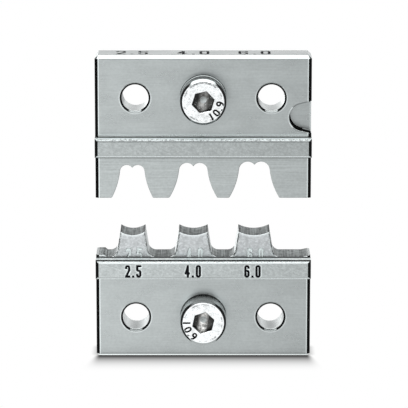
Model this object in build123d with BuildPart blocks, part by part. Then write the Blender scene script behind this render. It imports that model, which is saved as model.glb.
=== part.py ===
from build123d import *
import os
from math import cos, radians, sin, sqrt, tan

# Crimp die insert: a lower and an upper die half for three conductor sizes.
# Millimetres. X runs along the halves, Y away from the viewer and Z up.
# The origin is the centre of the lower half's foot.

# Die blocks, the same on both halves
die_width = 33.0
mount_thickness = 6.0
profile_setback = 0.6
mount_edge_chamfer = 0.35
profile_edge_chamfer = 0.25
back_edge_chamfer = 0.3
foot_chamfer = 0.3
top_chamfer = 0.5

# Lower half, heights from the foot
lower_mount_height = 12.6
lower_hole_height = 6.15
punch_height = 4.0
punch_dip = 0.57
punch_draft = 9.0
punch_root_radius = 1.2
left_land_height = 0.33
left_land_width = 1.25
left_land_run = 0.4
right_land_height = 0.2
right_land_width = 0.4
right_land_run = 0.9

# Upper half, heights from its tooth tips
tooth_height = 6.71
upper_mount_height = 12.5
upper_hole_drop = 6.5
wall_start_angle = 6.0
tooth_tip_radius = 0.25
pocket_radius = 2.11
pocket_flare = 14.0
pocket_depth = 2.4
pocket_from_edge = 1.31
pocket_above_ledge = 3.0

# The gap from punch tips to tooth tips, as the halves stand apart
tip_gap = 5.3

# Thrust bars, each with a tongue in a groove of its block
bar_height = 2.9
bar_proud = 2.15
bar_chamfer = 0.3
tongue_height = 1.6
tongue_depth = 1.0
tongue_from_ledge = 0.3
groove_clearance = 0.05

# Dowel pins that hold each bar, pressed in from the back
pin_radius = 0.5
pin_length = 6.0
pin_spacing = 27.0
pin_chamfer = 0.12
pin_recess = 0.1
pin_end_clearance = 0.3

# Locating bores
bore_radius = 2.05
bore_spacing = 20.75
bore_chamfer = 0.22

# Socket head cap screws
screw_radius = 2.0
screw_length = 10.0
screw_pitch = 0.7
thread_depth = 0.43
thread_crest = 0.09
thread_root = 0.17
screw_tip_chamfer = 0.45
neck_length = 0.5
head_radius = 3.5
head_height = 4.0
head_chamfer = 0.35
socket_width = 3.0
socket_depth = 2.0
lower_socket_turn = 17.5
upper_socket_turn = 13.0
socket_point_angle = 120.0
screw_clearance = 0.05
screw_hole_chamfer = 0.3

# Size numbers: in enamel on the lower bar and the upper block's top, bare on the punches' faces
mark_depth = 0.12
mark_recess = 0.02
front_digit_height = 1.95
front_digit_width = 0.8
front_digit_stroke = 0.33
front_digit_step = 0.85
bar_mark_lift = 1.24
bar_mark_pitch = 9.14
middle_bar_mark_x = -1.59
punch_mark_depth = 0.05
punch_mark_rise = 0.42
punch_mark_shift = 0.2
top_digit_height = 3.2
top_digit_width = 1.5
top_digit_stroke = 0.42
top_digit_step = 1.7

# Each crimp: its place in the row, its two roof lobes, and the half width of its mouth
crimp_pitch = 9.34
middle_crimp_x = -1.52
punch_side_clearance = 0.05
crimps = {
    "2_5": dict(step=-1, lobe_radius=1.03, lobe_offset=0.85, roof=5.12, mouth=3.16),
    "4_0": dict(step=0, lobe_radius=1.19, lobe_offset=0.99, roof=5.44, mouth=3.69),
    "6_0": dict(step=1, lobe_radius=1.33, lobe_offset=1.02, roof=5.64, mouth=3.85),
}

# Places that follow from the sizes
half_width = die_width / 2
face_y = -mount_thickness / 2
back_y = mount_thickness / 2
profile_y = face_y + profile_setback
tongue_y = profile_y + tongue_depth
bar_front_y = face_y - bar_proud
floor_height = lower_mount_height + bar_height
punch_top = floor_height + punch_height
tips_height = punch_top + tip_gap
upper_ledge_height = tips_height + tooth_height + bar_height
upper_top_height = upper_ledge_height + upper_mount_height
upper_hole_height = upper_top_height - upper_hole_drop
pin_front_y = back_y - pin_recess - pin_length
bar_mark_height = lower_mount_height + bar_mark_lift
punch_mark_height = floor_height + punch_mark_rise

os.makedirs("parts", exist_ok=True)


def front_plane(y):
    """Plane at a place along Y that faces the viewer, with X and Z as its axes."""
    return Plane.XZ.offset(-y)


def crimp_x(crimp):
    """Centre of a crimp along the die."""
    return middle_crimp_x + crimp["step"] * crimp_pitch


def bar_mark_x(crimp):
    """Middle of a crimp's number on the bar, which is spaced a little closer than the crimps."""
    return middle_bar_mark_x + crimp["step"] * bar_mark_pitch


def wall_start(crimp):
    """Where a cavity's wall leaves its roof lobe: its half width, and its height above the tooth tips."""
    lean = radians(wall_start_angle)
    wall_x = crimp["lobe_offset"] + crimp["lobe_radius"] * cos(lean)
    return wall_x, crimp["roof"] - crimp["lobe_radius"] * (1 - sin(lean))


def punch_half_width(crimp):
    """Half width of a punch's tip, a clearance less than its cavity where the closed punch ends."""
    wall_x, wall_z = wall_start(crimp)
    closed_punch_z = punch_height - left_land_height
    return wall_x + (wall_z - closed_punch_z) * tan(radians(wall_start_angle)) - punch_side_clearance


def upright_edges(part, y):
    """Upright edges at both sides of a die, at one place along Y."""
    upright = part.edges().filter_by(Axis.Z)
    outer = upright.filter_by(lambda edge: abs(abs(edge.center().X) - half_width) < 1e-4)
    return outer.filter_by(lambda edge: abs(edge.center().Y - y) < 1e-4)


def rims(part, radius, x, y):
    """Round rims of one radius, with their centres at one place along X and Y."""
    round_edges = part.edges().filter_by(GeomType.CIRCLE)
    same_size = round_edges.filter_by(lambda edge: abs(edge.radius - radius) < 1e-4)
    in_line = same_size.filter_by(lambda edge: abs(edge.arc_center.X - x) < 1e-4)
    return in_line.filter_by(lambda edge: abs(edge.arc_center.Y - y) < 1e-4)


def add_mount_holes(part, height):
    """Cut two locating bores and the screw's hole through the mounting part of a block."""
    holes = (
        (-bore_spacing / 2, bore_radius, bore_chamfer),
        (0, screw_radius + screw_clearance, screw_hole_chamfer),
        (bore_spacing / 2, bore_radius, bore_chamfer),
    )
    for x, radius, rim_chamfer in holes:
        with BuildSketch(front_plane(face_y)) as hole:
            with Locations((x, height)):
                Circle(radius)
        extrude(hole.sketch, amount=-mount_thickness, mode=Mode.SUBTRACT)
        chamfer(rims(part, radius, x, face_y) + rims(part, radius, x, back_y), rim_chamfer)


def tongue_middle(ledge_height, side):
    """Height of a tongue's middle. The side is 1 where the profile lies above the ledge, or -1."""
    return ledge_height + side * (tongue_from_ledge + tongue_height / 2)


def add_groove_and_pin_holes(ledge_height, side):
    """Cut the groove for a bar's tongue, and the holes for its pins, in a block."""
    height = tongue_middle(ledge_height, side)
    with BuildSketch(front_plane(profile_y)) as groove:
        with Locations((0, height)):
            Rectangle(die_width, tongue_height)
    extrude(groove.sketch, amount=-(tongue_depth + groove_clearance), mode=Mode.SUBTRACT)
    with BuildSketch(front_plane(back_y)) as pin_holes:
        with Locations((-pin_spacing / 2, height), (pin_spacing / 2, height)):
            Circle(pin_radius)
    extrude(pin_holes.sketch, amount=back_y - profile_y, mode=Mode.SUBTRACT)


def add_punch(crimp):
    """Add one punch's outline: a hollow tip, drafted flanks, and round roots on the valley floor."""
    x = crimp_x(crimp)
    tip = punch_half_width(crimp)
    base = tip + punch_height * tan(radians(punch_draft))
    root_run = punch_root_radius * tan(radians(90 - punch_draft) / 2)
    flank_x = base - root_run * sin(radians(punch_draft))
    flank_z = floor_height + root_run * cos(radians(punch_draft))
    with BuildLine() as outline:
        ThreePointArc((x - tip, punch_top), (x, punch_top - punch_dip), (x + tip, punch_top))
        for side in (-1, 1):
            Line((x + side * tip, punch_top), (x + side * flank_x, flank_z))
            TangentArc(
                (x + side * (base + root_run), floor_height),
                (x + side * flank_x, flank_z),
                tangent=(-side, 0),
            )
        Line((x - base - root_run, floor_height), (x + base + root_run, floor_height))
    make_face(outline.edges())


def add_land(side, height, width, run):
    """Add a closing stop's outline: a low land at one end of the valley floor, with a ramp."""
    edge = side * half_width
    with BuildLine() as outline:
        Polyline(
            (edge, floor_height),
            (edge, floor_height + height),
            (edge - side * width, floor_height + height),
            (edge - side * (width + run), floor_height),
            close=True,
        )
    make_face(outline.edges())


def cut_cavity(crimp):
    """Cut one cavity's outline: two flared walls, and a roof of two lobes with a cusp between."""
    x = crimp_x(crimp)
    radius = crimp["lobe_radius"]
    offset = crimp["lobe_offset"]
    mouth = crimp["mouth"]
    lobe_z = tips_height + crimp["roof"] - radius
    cusp_z = lobe_z + sqrt(radius**2 - offset**2)
    lean = radians(wall_start_angle)
    wall_x, wall_z = wall_start(crimp)
    with BuildLine() as outline:
        for side in (-1, 1):
            wall_top = (x + side * wall_x, tips_height + wall_z)
            ThreePointArc((x, cusp_z), (x + side * offset, lobe_z + radius), wall_top)
            TangentArc(wall_top, (x + side * mouth, tips_height), tangent=(side * sin(lean), -cos(lean)))
        Line((x - mouth, tips_height), (x + mouth, tips_height))
    make_face(outline.edges(), mode=Mode.SUBTRACT)


def digit_strokes(digit, w, h):
    """Paths of a digit's strokes as pairs of points and corner radii, from -w, -h to w, h."""
    r = w * 0.9
    paths = {
        "0": [([(0, h), (-w, h), (-w, -h), (0, -h)], [r, r]), ([(0, h), (w, h), (w, -h), (0, -h)], [r, r])],
        "2": [
            ([(-w, h * 0.45), (-w, h), (w, h), (w, h * 0.2), (-w, -h)], [r, r, r]),
            ([(-w * 2, -h), (w * 2, -h)], []),
        ],
        "4": [
            ([(w * 0.35, h * 2), (w * 0.35, -h * 2)], []),
            ([(-w * 2, -h * 0.4), (w * 2, -h * 0.4)], []),
            ([(w * 0.35, h), (-w, -h * 0.4)], []),
        ],
        "5": [
            ([(-w * 2, h), (w * 2, h)], []),
            ([(-w, h), (-w, h * 0.1)], []),
            ([(-w, h * 0.1), (w, h * 0.1), (w, -h), (-w, -h), (-w, -h * 0.5)], [r, r, r]),
        ],
        "6": [([(w, h * 0.5), (w, h), (-w, h), (-w, -h), (w, -h), (w, h * 0.1), (-w, h * 0.1)], [r] * 5)],
    }
    return paths[digit]


def digit_sketch(digit, width, height, stroke):
    """One digit of even strokes, cut square at its box, with its middle at the origin."""
    with BuildSketch() as sketch:
        for points, radii in digit_strokes(digit, (width - stroke) / 2, (height - stroke) / 2):
            with BuildLine() as path:
                if radii:
                    FilletPolyline(points, radius=radii)
                else:
                    Line(*points)
            trace(path.edges(), line_width=stroke)
        Rectangle(width, height, mode=Mode.INTERSECT)
    return sketch.sketch


def number_sketch(number, width, height, stroke, step):
    """A number such as 2.5, with its point midway between its two digits."""
    whole, part = number.split("_")
    digits = (digit_sketch(whole, width, height, stroke), digit_sketch(part, width, height, stroke))
    with BuildSketch() as sketch:
        for side, digit in zip((-1, 1), digits):
            with Locations((side * step, 0)):
                add(digit)
        with Locations((0, (stroke - height) / 2)):
            Rectangle(stroke, stroke)
    return sketch.sketch


def front_number(name, x, y, height):
    """A crimp's size number, upright, with its middle at one place."""
    with BuildSketch(front_plane(y)) as sketch:
        with Locations((x, height)):
            add(front_digits[name])
    return sketch.sketch


def top_number(name, z):
    """A crimp's size number, flat on the upper block's top, at one height."""
    with BuildSketch(Plane.XY.offset(z)) as sketch:
        with Locations((crimp_x(crimps[name]), 0)):
            add(top_digits[name])
    return sketch.sketch


def make_bar(ledge_height, side, marks, label):
    """Thrust bar: a square bar with broken edges, a tongue at its back and blind pin holes."""
    with BuildPart() as bar:
        with BuildSketch(front_plane(profile_y)):
            with Locations((0, ledge_height + side * bar_height / 2)):
                Rectangle(die_width, bar_height)
        extrude(amount=profile_y - bar_front_y)
        chamfer(upright_edges(bar, bar_front_y), mount_edge_chamfer)
        front_face = bar.faces().sort_by(Axis.Y)[0]
        chamfer(front_face.edges().filter_by(Axis.X), bar_chamfer)
        height = tongue_middle(ledge_height, side)
        with BuildSketch(front_plane(profile_y)):
            with Locations((0, height)):
                Rectangle(die_width, tongue_height)
        extrude(amount=-tongue_depth)
        with BuildSketch(front_plane(tongue_y)):
            with Locations((-pin_spacing / 2, height), (pin_spacing / 2, height)):
                Circle(pin_radius)
        extrude(amount=tongue_y - pin_front_y + pin_end_clearance, mode=Mode.SUBTRACT)
        for number in marks:
            pocket = front_number(number, bar_mark_x(crimps[number]), bar_front_y, bar_mark_height)
            extrude(pocket, amount=-mark_depth, mode=Mode.SUBTRACT)
    bar.part.label = label
    return bar.part


def make_pin(x, height, label):
    """Dowel pin with broken ends, lying along Y."""
    with BuildPart() as pin:
        with BuildSketch(front_plane(back_y - pin_recess)):
            with Locations((x, height)):
                Circle(pin_radius)
        extrude(amount=pin_length)
        chamfer(pin.edges().filter_by(GeomType.CIRCLE), pin_chamfer)
    pin.part.label = label
    return pin.part


def screw_outline():
    """Half outline of a screw: x is the radius, and y runs from under the head to the tip."""
    root_radius = screw_radius - thread_depth
    flank = (screw_pitch - thread_crest - thread_root) / 2
    turns = int((screw_length - neck_length - screw_tip_chamfer) / screw_pitch)
    outline = [(0, -head_height), (head_radius, -head_height), (head_radius, 0), (screw_radius, 0)]
    for turn in range(turns):
        start = neck_length + turn * screw_pitch
        outline += [
            (screw_radius, start),
            (root_radius, start + flank),
            (root_radius, start + flank + thread_root),
            (screw_radius, start + 2 * flank + thread_root),
        ]
    outline += [
        (screw_radius, screw_length - screw_tip_chamfer),
        (screw_radius - screw_tip_chamfer, screw_length),
        (0, screw_length),
    ]
    return outline


def add_pocket_mouth():
    """The pocket's straight sides, from its round end out past the die's side, widening as they go."""
    flare = radians(pocket_flare)
    reach = pocket_from_edge + pocket_radius
    inner_x = -pocket_radius * sin(flare)
    inner_y = pocket_radius * cos(flare)
    outer_y = (pocket_radius + reach * sin(flare)) / cos(flare)
    Polygon((inner_x, inner_y), (reach, outer_y), (reach, -outer_y), (inner_x, -inner_y), align=None)


def make_screw(height, socket_turn, label):
    """Socket head cap screw, its head against the mounting face and its thread through the block."""
    axial_plane = Plane(origin=(0, face_y, height), x_dir=(1, 0, 0), z_dir=(0, 0, 1))
    screw_axis = Axis((0, face_y, height), (0, 1, 0))
    socket_radius = socket_width / 2
    point_depth = socket_radius / tan(radians(socket_point_angle / 2))
    with BuildPart() as screw:
        with BuildSketch(axial_plane):
            with BuildLine():
                Polyline(*screw_outline(), close=True)
            make_face()
        revolve(axis=screw_axis)
        chamfer(rims(screw, head_radius, 0, face_y - head_height), head_chamfer)
        with BuildSketch(front_plane(face_y - head_height)):
            with Locations(Location((0, height), socket_turn)):
                RegularPolygon(socket_radius, 6, major_radius=False)
        extrude(amount=-socket_depth, mode=Mode.SUBTRACT)
        with BuildSketch(axial_plane):
            with BuildLine():
                Polyline(
                    (0, socket_depth - head_height),
                    (socket_radius, socket_depth - head_height),
                    (0, socket_depth + point_depth - head_height),
                    close=True,
                )
            make_face()
        revolve(axis=screw_axis, mode=Mode.SUBTRACT)
    screw.part.label = label
    return screw.part


# Size numbers as flat shapes
front_digits = {
    name: number_sketch(name, front_digit_width, front_digit_height, front_digit_stroke, front_digit_step)
    for name in crimps
}
top_digits = {
    name: number_sketch(name, top_digit_width, top_digit_height, top_digit_stroke, top_digit_step)
    for name in crimps
}

# Lower die block: a mounting slab, three punches on a valley floor, and a stop at each end
with BuildPart() as lower_die_block:
    with BuildSketch(front_plane(face_y)):
        with Locations((0, lower_mount_height / 2)):
            Rectangle(die_width, lower_mount_height)
    extrude(amount=-mount_thickness)
    chamfer(upright_edges(lower_die_block, face_y), mount_edge_chamfer)
    with BuildSketch(front_plane(profile_y)):
        with Locations((0, (lower_mount_height + floor_height) / 2)):
            Rectangle(die_width, floor_height - lower_mount_height)
        add_land(-1, left_land_height, left_land_width, left_land_run)
        add_land(1, right_land_height, right_land_width, right_land_run)
        for crimp in crimps.values():
            add_punch(crimp)
    extrude(amount=-(back_y - profile_y))
    chamfer(upright_edges(lower_die_block, profile_y), profile_edge_chamfer)
    chamfer(upright_edges(lower_die_block, back_y), back_edge_chamfer)
    chamfer(lower_die_block.faces().sort_by(Axis.Z)[0].edges(), foot_chamfer)
    for name, crimp in crimps.items():
        engraving = front_number(name, crimp_x(crimp) + punch_mark_shift, profile_y, punch_mark_height)
        extrude(engraving, amount=-punch_mark_depth, mode=Mode.SUBTRACT)
    add_mount_holes(lower_die_block, lower_hole_height)
    add_groove_and_pin_holes(lower_mount_height, 1)
lower_die_block.part.label = "lower_die_block"
export_step(lower_die_block.part, "parts/lower_die_block.step")

# Upper die block: a mounting slab, teeth between three cavities, and a pocket open to the right
with BuildPart() as upper_die_block:
    with BuildSketch(front_plane(face_y)):
        with Locations((0, (upper_ledge_height + upper_top_height) / 2)):
            Rectangle(die_width, upper_mount_height)
    extrude(amount=-mount_thickness)
    chamfer(upright_edges(upper_die_block, face_y), mount_edge_chamfer)
    with BuildSketch(front_plane(profile_y)) as teeth:
        with Locations((0, (tips_height + upper_ledge_height) / 2)):
            Rectangle(die_width, upper_ledge_height - tips_height)
        for crimp in crimps.values():
            cut_cavity(crimp)
        tips = teeth.vertices().filter_by(lambda corner: abs(corner.Y - tips_height) < 1e-4)
        fillet(tips.sort_by(Axis.X)[1:-1], tooth_tip_radius)
    extrude(amount=-(back_y - profile_y))
    chamfer(upright_edges(upper_die_block, profile_y), profile_edge_chamfer)
    chamfer(upright_edges(upper_die_block, back_y), back_edge_chamfer)
    chamfer(upper_die_block.faces().sort_by(Axis.Z)[-1].edges(), top_chamfer)
    add_mount_holes(upper_die_block, upper_hole_height)
    add_groove_and_pin_holes(upper_ledge_height, -1)
    with BuildSketch(front_plane(face_y)):
        with Locations((half_width - pocket_from_edge, upper_ledge_height + pocket_above_ledge)):
            Circle(pocket_radius)
            add_pocket_mouth()
    extrude(amount=-pocket_depth, mode=Mode.SUBTRACT)
    for name in crimps:
        extrude(top_number(name, upper_top_height), amount=-mark_depth, mode=Mode.SUBTRACT)
upper_die_block.part.label = "upper_die_block"
export_step(upper_die_block.part, "parts/upper_die_block.step")

# Thrust bars, whose ledges bear on the edges of the tool's jaw plates
lower_thrust_bar = make_bar(lower_mount_height, 1, list(crimps), "lower_thrust_bar")
export_step(lower_thrust_bar, "parts/lower_thrust_bar.step")
upper_thrust_bar = make_bar(upper_ledge_height, -1, [], "upper_thrust_bar")
export_step(upper_thrust_bar, "parts/upper_thrust_bar.step")

# Dowel pins, two to a bar
for half, ledge_height, side in (("lower", lower_mount_height, 1), ("upper", upper_ledge_height, -1)):
    for end, x in (("left", -pin_spacing / 2), ("right", pin_spacing / 2)):
        pin_name = f"{half}_bar_pin_{end}"
        pin = make_pin(x, tongue_middle(ledge_height, side), pin_name)
        export_step(pin, f"parts/{pin_name}.step")

# Cap screws, kept in the blocks while the insert is out of its tool
screw_places = (
    ("lower_cap_screw", lower_hole_height, lower_socket_turn),
    ("upper_cap_screw", upper_hole_height, upper_socket_turn),
)
for screw_name, height, socket_turn in screw_places:
    export_step(make_screw(height, socket_turn, screw_name), f"parts/{screw_name}.step")

# Enamel in the size numbers, just below the surface
for name, crimp in crimps.items():
    with BuildPart() as bar_mark:
        shape = front_number(name, bar_mark_x(crimp), bar_front_y + mark_depth, bar_mark_height)
        extrude(shape, amount=mark_depth - mark_recess)
    bar_mark.part.label = f"bar_mark_{name}"
    export_step(bar_mark.part, f"parts/bar_mark_{name}.step")
    with BuildPart() as top_mark:
        extrude(top_number(name, upper_top_height - mark_depth), amount=mark_depth - mark_recess)
    top_mark.part.label = f"top_mark_{name}"
    export_step(top_mark.part, f"parts/top_mark_{name}.step")
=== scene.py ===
import math
from types import SimpleNamespace

import bpy
import bmesh
from mathutils import Matrix, Vector


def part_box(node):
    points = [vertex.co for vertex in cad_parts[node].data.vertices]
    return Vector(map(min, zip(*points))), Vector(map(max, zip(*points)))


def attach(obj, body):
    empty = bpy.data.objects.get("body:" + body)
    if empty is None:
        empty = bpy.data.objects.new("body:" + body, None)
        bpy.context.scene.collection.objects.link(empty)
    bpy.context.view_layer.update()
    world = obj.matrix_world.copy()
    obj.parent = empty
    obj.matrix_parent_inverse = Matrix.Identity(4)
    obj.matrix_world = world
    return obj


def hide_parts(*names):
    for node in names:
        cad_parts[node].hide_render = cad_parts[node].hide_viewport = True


# Crimp die insert: the finish of its steel, screws and numbers, with painted highlights, shade and dark
# reflections in their colours, in a pale studio.
# Metres. X runs along the halves, Y away from the viewer and Z up.
# A zone is 1 at the points in it and 0 elsewhere, and a tone is the colour that a zone takes.

MM = 0.001

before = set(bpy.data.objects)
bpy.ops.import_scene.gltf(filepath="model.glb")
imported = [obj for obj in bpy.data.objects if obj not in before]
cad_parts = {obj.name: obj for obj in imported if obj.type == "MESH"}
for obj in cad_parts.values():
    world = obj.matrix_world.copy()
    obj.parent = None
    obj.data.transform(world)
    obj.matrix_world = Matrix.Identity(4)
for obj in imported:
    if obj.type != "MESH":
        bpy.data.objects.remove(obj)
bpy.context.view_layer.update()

# The photograph's view
IMAGE_SIZE = 408
FOCAL_PIXELS = 2800
SENSOR_WIDTH = 36
CAMERA_ELEVATION = math.radians(11.7)
CAMERA_DISTANCE = 0.429
VIEW_CENTRE = Vector((0.000115, -0.003, 0.02395))

# The floor, the shadow that the object casts ahead of itself, and the shadow where it stands
FLOOR_SIZE = 4.0
SHADOW_START = 0.75 * MM
SHADOW_LENGTH = 9.5 * MM
SHADOW_BACK = 1.5 * MM
SHADOW_FALL = 2.4
SHADOW_OVERLAP = 0.5 * MM
SHADOW_EDGE = 0.9 * MM
SHADOW_SPREAD = 0.25
SHADOW_TONE = 0.09
CONTACT_REACH = 1.2 * MM

# The dark wedges of floor that the steel reflects, at both sides of the object
WEDGE_Y = -3.0 * MM
WEDGE_START_X = 15.0 * MM
WEDGE_INNER_X = 18.0 * MM

# How bright steel sees the studio: ahead, at lens height, behind, high behind, overhead and at the sides
AHEAD_LEVEL = 1.15
LENS_LEVEL = 1.7
BEHIND_LEVEL = 1.3
GAP_LEVEL = 0.04
OVERHEAD_LEVEL = 2.4
SIDE_LEVEL = 0.5

# How bright matt surfaces see the studio and the floor
WORLD_DIFFUSE_LEVEL = 0.95
FLOOR_DIFFUSE_LEVEL = 0.8

# A soft lamp above the object
LAMP_PLACE = (0.0, 0.05, 0.5)
LAMP_TARGET = (0.0, 0.0, 0.02)
LAMP_SIZE = 0.35
LAMP_WATTS = 0.3

# The rounding of sharp edges, as it catches the light, and how far the painted highlight and shade lines
# beside them reach
EDGE_RADIUS = 0.2 * MM
EDGE_LINE_REACH = 0.35 * MM
PUNCH_EDGE_LINE_REACH = 0.6 * MM
BUMP_STRENGTH = 0.3
BUMP_HEIGHT = 0.006 * MM

# Places on the object, read from the frame
lower_block_low, lower_block_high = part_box("lower_die_block")
upper_block_low, upper_block_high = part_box("upper_die_block")
lower_bar_low, lower_bar_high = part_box("lower_thrust_bar")
upper_bar_low, upper_bar_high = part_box("upper_thrust_bar")
END_X = lower_block_high.x
FACE_Y = lower_block_low.y
PROFILE_Y = FACE_Y + 0.6 * MM
VALLEY_Z = lower_bar_high.z
UPPER_LEDGE_Z = upper_bar_high.z
PROFILE_MARGIN = 0.1 * MM

# The blocks' steel. A hair is the distance within which two surfaces count as one
HAIR = 0.02 * MM
# The halves' levels differ as painted light: one steel, set a little lighter in the lower half.
LOWER_LEVEL = 0.475
UPPER_LEVEL = 0.46
COOL = (0.955, 1.0, 1.02)
PROFILE_END_MARGIN = 0.4 * MM
ENGRAVED_DEPTH = 0.08 * MM
# The painted dark strip at each end of a face, and the painted highlight beside it
END_SHADE = 0.48 * MM
END_LINE_WIDTH = 0.15 * MM
# How far the painted corner shade reaches, on open faces and on shelves
OPEN_SHADE_REACH = 0.05 * MM
SHELF_SHADE_REACH = 0.6 * MM

# Heights of painted highlights and painted shade on the blocks' faces, beside the bars and at the foot
LOWER_LINE_HEIGHTS = (lower_bar_low.z - 0.46 * MM, lower_bar_low.z - 0.28 * MM)
SKIRT_HEIGHTS = (UPPER_LEDGE_Z, UPPER_LEDGE_Z + 0.13 * MM)
LIFT_HEIGHTS = (UPPER_LEDGE_Z + 0.15 * MM, UPPER_LEDGE_Z + 0.5 * MM)
UNDER_BAR_HEIGHTS = (upper_bar_low.z - 0.66 * MM, upper_bar_low.z - 0.48 * MM)
FOOT_EDGE_HEIGHT = 0.18 * MM
FOOT_LINE_HEIGHT = 0.4 * MM
UNSHADED_FOOT_HEIGHT = 1.0 * MM
UNSHADED_PUNCH_HEIGHT = 0.4 * MM

# The bores: their middles, the painted dark ring round each and the painted highlight round that
BORE_X = 20.75 / 2 * MM
LOWER_BORE_Z = 6.15 * MM
UPPER_BORE_Z = upper_block_high.z - 6.5 * MM
BORE_REACH = 2.6 * MM
BORE_RING = 2.35 * MM
BORE_HALO = 0.16 * MM

# The pocket at the right of the upper block
POCKET_LEFT = 12.9 * MM
POCKET_DEPTH = 2.4 * MM
POCKET_RADIUS = 2.11 * MM
POCKET_CENTRE_X = 15.19 * MM
POCKET_CENTRE_Z = UPPER_LEDGE_Z + 3.0 * MM
POCKET_HEIGHTS = (UPPER_LEDGE_Z + 0.2 * MM, UPPER_LEDGE_Z + 5.8 * MM)
POCKET_SKIN = 0.05 * MM
POCKET_SHADE_X = POCKET_CENTRE_X + 0.2 * MM
POCKET_SHADE_Z = POCKET_CENTRE_Z + 0.08 * MM
POCKET_SHADE_RADIUS = POCKET_RADIUS - 0.04 * MM

# Painted shade and light on the blocks round the screw heads: radii, and heights above the screw's axis
HEAD_RADIUS = 3.5 * MM
OUTLINE_RADIUS = HEAD_RADIUS + 0.1 * MM
OUTLINE_HEIGHTS = (0.2 * MM, 1.0 * MM)
HEAD_SHADE_RADII = (HEAD_RADIUS, HEAD_RADIUS + 0.6 * MM)
HEAD_SHADE_HEIGHTS = (2.6 * MM, 3.6 * MM)
HEAD_LIGHT_RADII = (HEAD_RADIUS + 0.4 * MM, HEAD_RADIUS + 1.8 * MM)
HEAD_LIGHT_HEIGHTS = (1.5 * MM, 3.4 * MM)

# The thrust bars' chamfer, the painted shade at the back of their tops, and the strip that polishing rolled
# over, painted dark as a reflection
BAR_CHAMFER = 0.3 * MM
CHAMFER_FRONT = 0.62 * BAR_CHAMFER
CORNER_SHADE = 0.85 * MM
CORNER_FADE = 0.75
CHAMFER_LINE_NEAR = 0.04 * MM
CHAMFER_LINE_FAR = 0.16 * MM
ROLL_BEHIND = 0.36 * MM
ROLL_AHEAD = 0.15 * MM
ROLL_WAVER = 0.04 * MM

# Socket head cap screws of 4 mm
HEAD_HEIGHT = 4.0 * MM
HEAD_RIM = 0.34 * MM
HEAD_FOOT_RIM = 0.06 * MM
NECK_LENGTH = 0.7 * MM
THREAD_PITCH = 0.7 * MM
THREAD_DEPTH = 0.42 * MM
THREAD_RADIUS = 2.0 * MM
TIP_CHAMFER = 0.45 * MM
SOCKET_WIDTH = 3.0 * MM
SOCKET_DEPTH = 1.8 * MM
SOCKET_MOUTH = 0.07 * MM
SOCKET_FLOOR_DEPTH = 2.3 * MM
SOCKET_FLOOR_RADIUS = 0.42 * MM
CONE_INSET = 0.05 * MM
STRENGTH_NUMBER = "10.9"
STRENGTH_RADIUS = 2.66 * MM
STRENGTH_SIZE = 1.7 * MM
STRENGTH_DEPTH = 0.12 * MM
STRENGTH_STROKE = 0.055 * MM
LATHE_SEGMENTS = 96
THREAD_ROWS = 12

# Zones of the screw heads, by depth behind the face, distance from the axis and height above it
SHOULDER_DEPTH = 0.8 * MM
MIDDLE_BAND_DEPTH = 0.9 * MM
FOOT_BAND_DEPTH = 3.2 * MM
HEAD_SHADE_WIDTH = 0.12 * MM
SOCKET_DEPTHS = (0.06 * MM, 3.5 * MM)
STRENGTH_DEPTHS = (0.03 * MM, 0.3 * MM)
SOCKET_REACH = 1.85 * MM
STRENGTH_REACH = 3.1 * MM
SIDE_RADIUS = 3.0 * MM
RING_RADII = (2.81 * MM, 2.99 * MM)
ARC_RADII = (2.82 * MM, 3.16 * MM)
ARC_HEIGHTS = (2.1 * MM, 2.6 * MM)


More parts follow.
